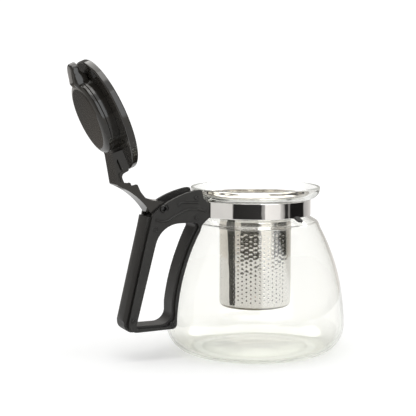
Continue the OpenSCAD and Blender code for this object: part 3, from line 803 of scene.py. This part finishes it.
def build_bosses(pin_r):
    """Low round bosses moulded on the viewer's cheek over the screws, and a ring round the pin."""
    root = -0.4
    dimple = 0.1
    boss_h = 0.6
    ring_h = 0.5
    ring_in = pin_r + 0.15
    ring_out = pin_r + 1.1
    screw_boss = [(0, dimple, 0), (0.75, dimple, 0.1), (1.15, boss_h, 0.2), (1.75, boss_h, 0.3),
                  (1.95, root, 0), (0, root, 0)]
    pin_ring = [(ring_in, root, 0), (ring_in, ring_h, 0.15), (ring_out - 0.2, ring_h, 0.25),
                (ring_out, root, 0)]
    bosses = bmesh.new()
    for place in screw_places():
        add_to(bosses, cheek_button(bent(screw_boss, 4), place, closed=False))
    add_to(bosses, cheek_button(bent(pin_ring, 4), pivot, closed=True))
    make_piece(bosses, "cheek_bosses", "jug", "handle_plastic")


def cheek_button(outline, place, closed):
    """A small turned shape standing on the viewer's cheek."""
    shape = spun(outline, steps=32, closed=closed)
    bmesh.ops.rotate(shape, cent=(0, 0, 0), matrix=Matrix.Rotation(math.pi / 2, 3, "X"), verts=shape.verts)
    bmesh.ops.translate(shape, vec=(place.x, -cheek_y(place.z), place.z), verts=shape.verts)
    return shape


def cheek_y(height):
    """Distance of the handle's side face from its middle plane; the face splays over a bend."""
    half_w = 10.5
    splay = 2.1
    bend_z = band_z - 21.9
    top_z = rim_z + 2.1
    return half_w + max(0, height - bend_z) * splay / (top_z - bend_z)


def build_cheek_relief():
    """Fine raised lines on the viewer's cheek of the handle, half sunk in its face."""
    line_r = 0.8
    long_wave = [(-80.9, 100.3), (-74.3, 99.1), (-65.6, 103.3), (-57.9, 106.5), (-50.2, 106.7),
                 (-43.4, 104.6)]
    short_wave = [(-64.8, 109.6), (-62.9, 111.3), (-56.0, 111.6), (-49.4, 111.2)]
    for name, route in (("cheek_line_long", long_wave), ("cheek_line_short", short_wave)):
        data = bpy.data.curves.new(name, "CURVE")
        data.dimensions = "3D"
        data.bevel_depth = line_r
        data.bevel_resolution = 3
        data.use_fill_caps = True
        line = data.splines.new("BEZIER")
        line.bezier_points.add(len(route) - 1)
        for point, (x, z) in zip(line.bezier_points, route):
            point.co = (x, -cheek_y(z), z)
            point.handle_left_type = "AUTO"
            point.handle_right_type = "AUTO"
        tube = bpy.data.objects.new(name, data)
        scene.collection.objects.link(tube)
        bpy.context.view_layer.update()
        drawn = tube.evaluated_get(bpy.context.evaluated_depsgraph_get())
        shape = bmesh.new()
        shape.from_mesh(bpy.data.meshes.new_from_object(drawn))
        bpy.data.objects.remove(tube)
        make_piece(shape, name, "jug", "handle_plastic")


# ---- lid ----
LID_OVER_RIM = 0.2
DRUM_R = 26.1
DRUM_H = 10.9
DRUM_SHIFT = 2.4
DRUM_WALL_H = 5.8


def lid_pose():
    """From the open lid's own axes, centred on its disc's upper face, to the frame."""
    centre = Matrix.Translation((-pivot.x, 0, rim_z + LID_OVER_RIM - pivot.z))
    return Matrix.Translation(pivot) @ Matrix.Rotation(-lid_open, 4, "Y") @ centre


def lid_piece(shape, name, finish, replaced=()):
    """Makes a piece of a bmesh drawn on the lid's disc, at the open lid's place."""
    bmesh.ops.transform(shape, matrix=lid_pose(), verts=shape.verts)
    return make_piece(shape, name, "lid", finish, replaced)


def build_lid():
    """The lid's disc with its liner, and what stands on the disc."""
    mouth_gap = 4.4
    lid_r = RIM_R - GLASS_T - mouth_gap
    lid_t = 4.9
    wall = 2
    disc = bent([(0, 0, 0), (lid_r, 0, 0.9), (lid_r, -lid_t, 0.8), (lid_r - wall, -lid_t, 0.4),
                 (lid_r - wall, -wall, 0.6), (0, -wall, 0)], 5, 0.2)
    lid_piece(spun(disc, closed=False), "lid_disc_moulded", "lid_plastic", ["lid_disc"])
    liner_r = lid_r - wall - 0.05
    liner_t = 1.2
    low = 0.3 - lid_t
    groove_z = low + 0.35
    groove_r = liner_r - 7.9
    liner = bent([(0, low, 0), (groove_r - 1.1, low, 0.3), (groove_r - 0.5, groove_z, 0.3),
                  (groove_r + 0.5, groove_z, 0.3), (groove_r + 1.1, low, 0.3), (liner_r, low, 0.35),
                  (liner_r, low + liner_t, 0), (0, low + liner_t, 0)], 4)
    lid_piece(spun(liner, steps=144, closed=False), "lid_liner_plate", "handle_plastic", ["lid_liner"])
    build_drum()
    build_tongue()
    build_arm()


def build_drum():
    """The lid's round grip: a low wall and a soft-edged cap that sits on it."""
    wall = 2
    foot_z = 0.1
    seam = 0.15
    cap_edge_h = 1.6
    round_w = 5.2
    crown = 0.35
    wall_outline = loop_round([(DRUM_R - wall, foot_z, 0), (DRUM_R, foot_z, 0),
                               (DRUM_R, DRUM_WALL_H, 0.35), (DRUM_R - wall, DRUM_WALL_H, 0.35)], 4)
    shape = spun(wall_outline, steps=144)
    bmesh.ops.translate(shape, vec=(DRUM_SHIFT, 0, 0), verts=shape.verts)
    lid_piece(shape, "lid_drum_wall", "lid_plastic")
    low = DRUM_WALL_H + seam
    edge_z = low + cap_edge_h
    flat_r = DRUM_R - round_w
    face = [Vector((flat_r * i / 10, DRUM_H - crown * (i / 10) ** 2)) for i in range(10)]
    cap = (bent([(0, low, 0), (DRUM_R, low, 0.25), (DRUM_R, edge_z, 0)], 4, 0.2)[:-1]
           + arc(flat_r, edge_z, round_w, DRUM_H - crown - edge_z, 0, 90, 14) + face[::-1])
    shape = spun(cap, steps=144, closed=False)
    bmesh.ops.translate(shape, vec=(DRUM_SHIFT, 0, 0), verts=shape.verts)
    lid_piece(shape, "lid_cap_moulded", "lid_plastic", ["lid_cap"])


def build_tongue():
    """The thumb tongue: it spreads into the drum's wall and ends in a half round.

    It is lofted through stations (x, half width, underside, top)."""
    half = 6.5
    flared = 1.0
    tip_x = 35.5
    lift = 3.5
    foot_z = 0.05
    start_x = DRUM_SHIFT + DRUM_R
    free_x = start_x + 2.5
    root_z = DRUM_H + 0.7
    tip_z = lift + 5.1
    sides = 32
    soft = 0.42

    def top(x):
        return root_z + (tip_z - root_z) * max(0, x - start_x) / (tip_x + half - start_x)

    def under(x):
        return max(foot_z, lift * min(1, (x - free_x) / (tip_x - free_x)))

    stations = [(start_x - 4.5, half + flared + 0.5, foot_z, DRUM_H - 1.6),
                (start_x - 3.2, half + flared + 0.3, foot_z, DRUM_H - 0.9),
                (start_x - 1.6, half + flared + 0.1, foot_z, DRUM_H),
                (start_x, half + flared, foot_z, root_z - 0.1)]
    for i in range(1, 8):
        x = start_x + 0.15 + (tip_x - start_x) * i / 8
        stations.append((x, half + flared * (1 - i / 8) ** 2, under(x), top(x)))
    for i in range(9):
        turn = math.radians(88 * i / 8)
        x = tip_x + half * math.sin(turn)
        softened = 0.9 * (1 - math.cos(turn)) ** 2
        stations.append((x, half * math.cos(turn), under(x) + softened, top(x) - softened))
    shape = bmesh.new()
    bmesh.ops.create_circle(shape, cap_ends=True, segments=sides, radius=1)
    for _ in stations[1:]:
        rim = [edge for edge in shape.edges if edge.is_boundary]
        grown = bmesh.ops.extrude_edge_only(shape, edges=rim)["geom"]
        new = [item for item in grown if isinstance(item, bmesh.types.BMVert)]
        bmesh.ops.translate(shape, vec=(0, 0, 1), verts=new)
    bmesh.ops.holes_fill(shape, edges=[edge for edge in shape.edges if edge.is_boundary])
    for vert in shape.verts:
        x, width, low, high = stations[round(vert.co.z)]
        across, rise = (math.copysign(abs(part) ** soft, part) for part in vert.co.xy)
        vert.co = (x, width * across, (low + high) / 2 + (high - low) / 2 * rise)
    bmesh.ops.recalc_face_normals(shape, faces=shape.faces)
    lid_piece(shape, "lid_tongue_moulded", "lid_plastic")


def build_arm():
    """The arm from the pin to just inside the drum's wall, without the drum."""
    cut_x = DRUM_SHIFT - DRUM_R - 0.6
    reach_in = 3
    arm = cad_copy("lid_arm")
    bmesh.ops.transform(arm, matrix=lid_pose().inverted(), verts=arm.verts)
    bmesh.ops.bisect_plane(arm, geom=arm.verts[:] + arm.edges[:] + arm.faces[:], dist=1e-4,
                           plane_co=(cut_x, 0, 0), plane_no=(1, 0, 0), clear_outer=True)
    ends = [edge for edge in arm.edges if edge.is_boundary]
    bmesh.ops.triangle_fill(arm, use_beauty=True, use_dissolve=True, edges=ends)
    for vert in {vert for edge in ends for vert in edge.verts}:
        vert.co.x += reach_in
    bmesh.ops.recalc_face_normals(arm, faces=arm.faces)
    soften(lid_piece(arm, "lid_arm_moulded", "lid_plastic", ["lid_arm"]))


# ---- room: table, world, lamps, camera ----
# Where the viewer stands, and the way the viewer looks
VIEW_FROM_MM = Vector((-389.75, -852.41, 207.84))
VIEW_ALONG = Vector((0.380, 0.9185, -0.1100))
LENS_MM = 112.5
VIEW_AZIMUTH = math.atan2(-VIEW_ALONG.y, -VIEW_ALONG.x)


def build_camera():
    """A long lens at the viewer's place."""
    data = bpy.data.cameras.new("camera")
    data.lens = LENS_MM
    data.sensor_width = 36
    data.clip_start = 0.01
    camera = bpy.data.objects.new("camera", data)
    camera.location = VIEW_FROM_MM * MM
    camera.rotation_euler = VIEW_ALONG.to_track_quat("-Z", "Y").to_euler()
    scene.collection.objects.link(camera)
    scene.camera = camera


TABLE_R = 500
# The table's glow as the camera sees it, and as it shows through the glass
TABLE_LIFT = 0.22
TABLE_LIFT_IN_GLASS = 0.27
# Light that the jug gathers on the table under its foot, and the radii where it fades
GATHERED_LIGHT = 0.40
GATHERED_R = 33
GATHERED_END_R = 40


def build_table():
    """A round pale table top; its own glow is seen by the camera and through the glass only."""
    shape = bmesh.new()
    bmesh.ops.create_circle(shape, cap_ends=True, segments=96, radius=TABLE_R * MM)
    mesh = bpy.data.meshes.new("table")
    shape.to_mesh(mesh)
    shape.free()
    table = bpy.data.objects.new("table", mesh)
    scene.collection.objects.link(table)
    material, tree, skin = new_material("pale_table")
    socket(skin, "Base Color").default_value = (0.93, 0.93, 0.925, 1)
    socket(skin, "Roughness").default_value = 0.9
    socket(skin, "Specular IOR Level").default_value = 0.0
    light_path = tree.nodes.new("ShaderNodeLightPath")
    straight = math_node(tree, "MULTIPLY", light_path.outputs["Is Camera Ray"], TABLE_LIFT)
    unbounced = math_node(tree, "LESS_THAN", light_path.outputs["Glossy Depth"], 0.5)
    in_glass = math_node(tree, "MULTIPLY", light_path.outputs["Is Transmission Ray"], unbounced)
    away = tree.nodes.new("ShaderNodeVectorMath")
    away.operation = "LENGTH"
    link(tree, object_place(tree), away.inputs[0])
    gathered = span(tree, away.outputs["Value"], GATHERED_R * MM, GATHERED_END_R * MM,
                    TABLE_LIFT_IN_GLASS + GATHERED_LIGHT, TABLE_LIFT_IN_GLASS)
    through = math_node(tree, "MULTIPLY", in_glass, gathered)
    socket(skin, "Emission Color").default_value = (1, 1, 1, 1)
    link(tree, math_node(tree, "ADD", straight, through), socket(skin, "Emission Strength"))
    mesh.materials.append(material)


WARM = (1.0, 0.965, 0.92)
WINDOW = (2.6, 2.67, 2.73)
BOX = (3.0, 2.95, 2.85)
# Studio cards round the object, seen in gloss alone. A row starts to cover the row below it
# at one height over the horizon and covers it at the next, in degrees. Its cards go from and
# to an angle to the right of the viewer as the object sees it, with the brightness at each.
CARD_ROWS = [
    (-90, -89, [(-180, -112, (0.30, 0.27, 0.24), (0.30, 0.27, 0.24)), (-100, 100, 0.90, 0.90),
                (112, 180, (0.50, 0.44, 0.38), (0.50, 0.44, 0.38))]),
    (-19, -12, [(-180, -112, 0.15, 0.15), (-100, 100, 0.90, 0.90), (112, 180, 0.05, 0.05)]),
    (-9.5, -8.5, [(-180, -112, 0.92, 0.80), (-108, -50, 0.76, 0.70), (-48.5, 10.6, 0.022, 0.035),
                  (11.5, 17, 0.33, 0.36), (18, 50, 0.98, 0.90), (52, 60, 0.62, 0.30), (62, 69, 0.025, 0.025),
                  (71, 73, 0.25, 0.25), (76, 115, 0.010, 0.012), (119, 180, 0.42, 0.90)]),
    (-3, 1, [(-180, -112, 0.22, 0.25), (-106, -50, 0.60, 0.60), (-46, 6, 0.35, 0.35),
            (10, 44, WINDOW, WINDOW), (50, 112, 0.45, 0.45), (120, 180, 0.50, 0.50)]),
    (31, 34, [(-180, -112, BOX, BOX), (-104, 4, 0.06, 0.06), (10, 44, WINDOW, WINDOW), (50, 108, 0.06, 0.06),
              (116, 180, BOX, BOX)]),
    (47, 50, [(-180, -115, BOX, BOX), (-105, 105, 0.05, 0.05), (115, 180, BOX, BOX)]),
    (70, 74, [(-180, 180, BOX, BOX)]),
]
ROOM_LEVEL = 0.8
BACKDROP_LEVEL = 1.12


def build_world():
    """The cards for gloss, a plain backdrop for what looks straight or through glass."""
    world = bpy.data.worlds.new("studio")
    scene.world = world
    world.use_nodes = True
    tree = world.node_tree
    backdrop = tree.nodes["Background"]
    turned = tree.nodes.new("ShaderNodeVectorRotate")
    turned.rotation_type = "Z_AXIS"
    socket(turned, "Angle").default_value = -VIEW_AZIMUTH
    link(tree, tree.nodes.new("ShaderNodeTexCoord").outputs["Generated"], socket(turned, "Vector"))
    split = tree.nodes.new("ShaderNodeSeparateXYZ")
    link(tree, turned.outputs[0], split.inputs[0])
    azimuth = math_node(tree, "ARCTAN2", split.outputs["Y"], split.outputs["X"])
    around = span(tree, azimuth, -math.pi, math.pi)

    def row(cards):
        """Colour Ramp round the horizon through a row of cards."""
        stops = []
        for start, end, first, last in cards:
            for edge, level in ((start, first), (end, last)):
                colour = level if isinstance(level, tuple) else tuple(level * part for part in WARM)
                stops.append(((edge + 180) / 360, colour))
        return ramp(tree, around, stops)

    height = split.outputs["Z"]
    gloss = WARM
    for start, full, cards in CARD_ROWS:
        share = span(tree, height, math.sin(math.radians(start)), math.sin(math.radians(full)))
        gloss = mix_colour(tree, share, gloss, row(cards))
    light_path = tree.nodes.new("ShaderNodeLightPath")
    is_gloss = light_path.outputs["Is Glossy Ray"]
    is_through = light_path.outputs["Is Transmission Ray"]
    # Rays mirrored by what stands behind glass come out through it again; rays mirrored
    # inside the glass wall itself leave it sooner, and see the plain backdrop
    behind = math_node(tree, "GREATER_THAN", light_path.outputs["Transmission Depth"], 2.5)
    bounced = math_node(tree, "GREATER_THAN", light_path.outputs["Glossy Depth"], 0.5)
    through = math_node(tree, "MULTIPLY", is_through, behind)
    reflected = math_node(tree, "MULTIPLY", math_node(tree, "MAXIMUM", is_gloss, through), bounced)
    seen = math_node(tree, "MAXIMUM", light_path.outputs["Is Camera Ray"], is_through)
    plain = mix_colour(tree, seen, (ROOM_LEVEL,) * 3, (BACKDROP_LEVEL,) * 3)
    link(tree, mix_colour(tree, reflected, plain, gloss), backdrop.inputs["Color"])


def add_lamp(name, place, size, power, aim=(0, 0, 0.08)):
    """A square area lamp that faces a point; places and sizes in metres, power in watts."""
    data = bpy.data.lights.new(name, "AREA")
    data.size = size
    data.energy = power
    lamp = bpy.data.objects.new(name, data)
    lamp.location = place
    lamp.rotation_euler = (Vector(aim) - Vector(place)).to_track_quat("-Z", "Y").to_euler()
    scene.collection.objects.link(lamp)


build_camera()
build_table()
build_world()
add_lamp("softbox_above", place=(-0.25, -0.35, 1.2), size=0.8, power=3.0)
build_glass_jug()
build_neck_band()
build_gasket()
build_infuser()
build_handle()
build_lid()
for cad_node, cad_finish in CAD_FINISHES.items():
    cad_mesh = frame["nodes"][cad_node].data
    cad_mesh.materials.clear()
    cad_mesh.materials.append(FINISHES[cad_finish])
scene.view_settings.view_transform = "Standard"
